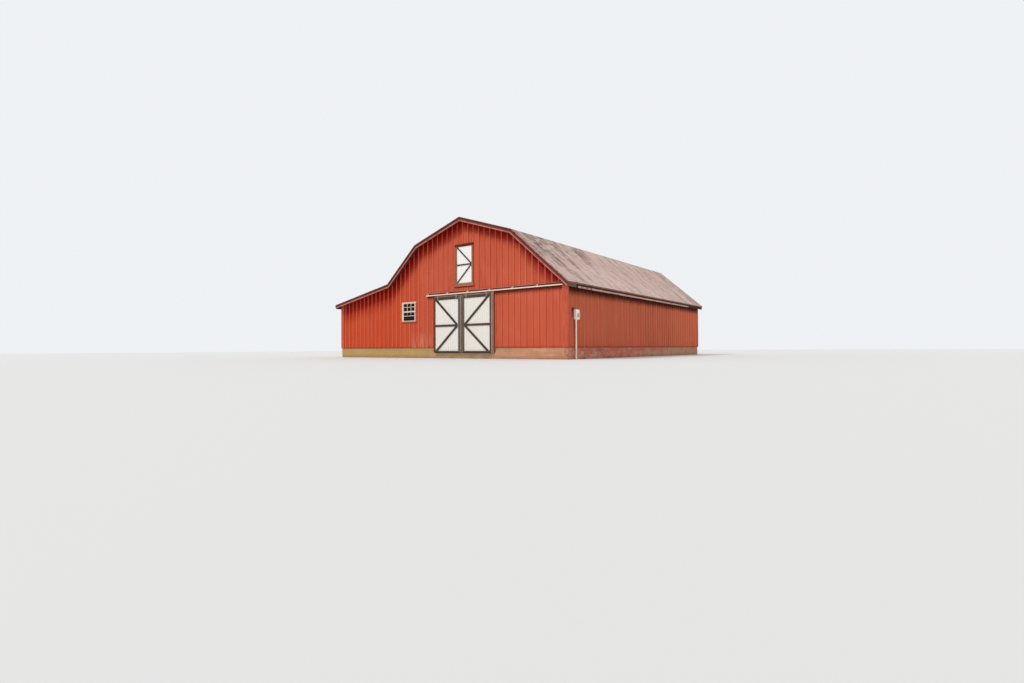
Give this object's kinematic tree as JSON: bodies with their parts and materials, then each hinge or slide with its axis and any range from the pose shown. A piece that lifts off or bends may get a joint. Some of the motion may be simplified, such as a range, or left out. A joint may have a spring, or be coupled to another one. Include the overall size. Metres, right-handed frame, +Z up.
{
  "type": "gambrel barn with lean-to",
  "caption": "Red board-and-batten gambrel barn on a concrete foundation, with a lean-to, a loft door, a window and track-hung white sliding doors.",
  "frame": {"origin": "on the ground plane under the ridge, halfway along the barn", "axes": "+Z up, -Y out of the front with the sliding doors, +X to the right seen from the front, with the ridge along Y"},
  "size_m": [15.085, 16.9, 6.453],
  "materials": {
    "concrete": "cast concrete with worn red and grey paint outside",
    "floor_concrete": "trowelled and dusty",
    "siding_red": "weathered paint",
    "trim_red": "faded paint",
    "trim_brown": "weathered dark stain",
    "door_white": "weathered white paint",
    "lumber": "rough sawn and aged",
    "shingles": "weathered mineral granules",
    "window_glass": "dusty pane",
    "meter_glass": "clear dome",
    "cream_metal": "chalky cream paint",
    "meter_grey": "satin grey enamel",
    "riser_pipe": "sun-bleached conduit",
    "hardware_steel": "galvanised and rusting"
  },
  "bodies": {
    "building": {"foundation": "concrete", "floor_slab": "floor_concrete", "front_wall_lean": "siding_red", "front_wall_left": "siding_red", "front_wall_right": "siding_red", "front_gable": "siding_red", "back_wall": "siding_red", "right_wall": "siding_red", "left_wall": "siding_red", "posts": "lumber", "girts": "lumber", "loft_beams": "lumber", "loft_joists": "lumber", "loft_floor": "lumber", "lower_rafters": "lumber", "upper_rafters": "lumber", "lean_to_rafters": "lumber", "collar_ties": "lumber", "ridge_board": "lumber", "upper_roof": "shingles", "lower_roof": "shingles", "lean_to_roof": "shingles", "rake_boards": "trim_red", "eave_fascias": "trim_red", "corner_boards": "trim_red", "gutter": "cream_metal", "downspout": "cream_metal", "door_track": "cream_metal", "track_brackets": "cream_metal", "track_board": "trim_brown", "door_lining": "trim_brown", "window_frame": "door_white", "window_glass": "window_glass", "loft_door_frame": "trim_brown", "loft_door": "door_white", "loft_door_braces": "trim_brown", "loft_ledge": "trim_red", "meter_box": "meter_grey", "meter_glass": "meter_glass", "meter_riser": "riser_pipe"},
    "left_door": {"left_door_panel": "door_white", "left_door_frame": "trim_brown", "left_door_hardware": "hardware_steel"},
    "right_door": {"right_door_panel": "door_white", "right_door_frame": "trim_brown", "right_door_hardware": "hardware_steel"}
  },
  "joints": [
    {"name": "right_door_slide", "type": "slide", "parent": "building", "child": "right_door", "axis": [1, 0, 0], "range_m": [0, 3.53]},
    {"name": "left_door_slide", "type": "slide", "parent": "building", "child": "left_door", "axis": [1, 0, 0], "range_m": [0, 3.53]}
  ],
  "couplings": [
    {"joint": "left_door_slide", "follows": "right_door_slide", "ratio": 1}
  ]
}
